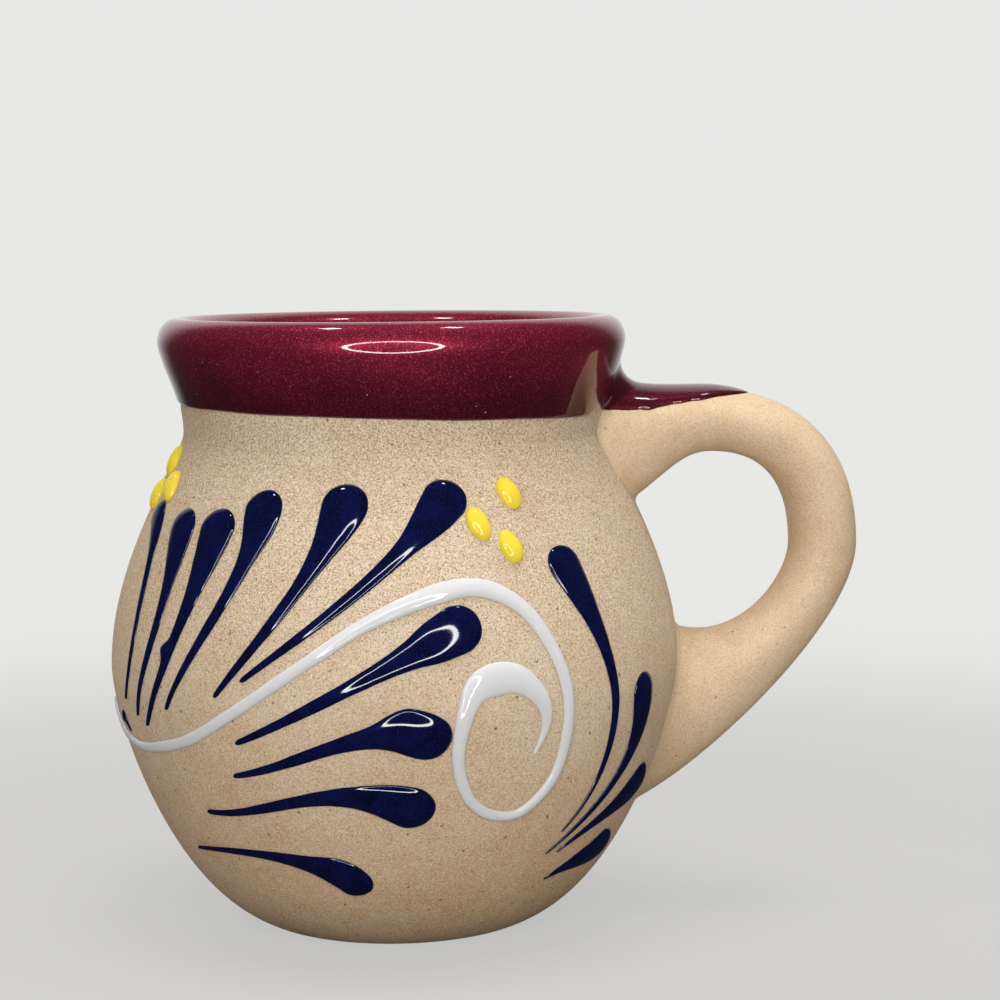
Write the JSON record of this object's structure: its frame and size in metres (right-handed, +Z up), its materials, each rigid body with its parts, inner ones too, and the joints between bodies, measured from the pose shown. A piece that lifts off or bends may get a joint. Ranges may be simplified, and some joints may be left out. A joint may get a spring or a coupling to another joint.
{
  "type": "clay mug",
  "caption": "Round-bellied clay mug with a thick glazed collar, a luted loop handle and raised slip-trailed strokes, scroll and dots.",
  "frame": {"origin": "centre of the flat foot on the axis of the pot, at the level it stands on", "axes": "+Z up along the axis of the pot, +X towards the handle, -Y towards the front decoration"},
  "size_m": [0.1215, 0.093, 0.0975],
  "materials": {
    "clay": "bare fired clay, fine grain and dark specks",
    "burgundy_glaze": "glossy glaze with fine red flecks",
    "navy_slip": "glossy raised slip",
    "white_slip": "semi-gloss raised slip",
    "yellow_slip": "glossy raised slip"
  },
  "bodies": {
    "root": {"clay_pot": "clay", "handle": "clay", "liner_glaze": "burgundy_glaze", "rim_glaze": "burgundy_glaze", "handle_glaze": "burgundy_glaze", "front_high_stroke_1": "navy_slip", "front_high_stroke_2": "navy_slip", "front_high_stroke_3": "navy_slip", "front_high_stroke_4": "navy_slip", "front_high_stroke_5": "navy_slip", "front_high_stroke_6": "navy_slip", "front_low_stroke_1": "navy_slip", "front_low_stroke_2": "navy_slip", "front_low_stroke_3": "navy_slip", "front_low_stroke_4": "navy_slip", "front_near_stroke_1": "navy_slip", "front_near_stroke_2": "navy_slip", "front_near_stroke_3": "navy_slip", "front_near_stroke_4": "navy_slip", "front_short_stroke": "navy_slip", "front_scroll": "white_slip", "front_dots": "yellow_slip", "front_far_dots": "yellow_slip", "back_high_stroke_1": "navy_slip", "back_high_stroke_2": "navy_slip", "back_high_stroke_3": "navy_slip", "back_high_stroke_4": "navy_slip", "back_high_stroke_5": "navy_slip", "back_high_stroke_6": "navy_slip", "back_low_stroke_1": "navy_slip", "back_low_stroke_2": "navy_slip", "back_low_stroke_3": "navy_slip", "back_low_stroke_4": "navy_slip", "back_near_stroke_1": "navy_slip", "back_near_stroke_2": "navy_slip", "back_near_stroke_3": "navy_slip", "back_near_stroke_4": "navy_slip", "back_short_stroke": "navy_slip", "back_scroll": "white_slip", "back_dots": "yellow_slip", "back_far_dots": "yellow_slip"}
  },
  "joints": []
}
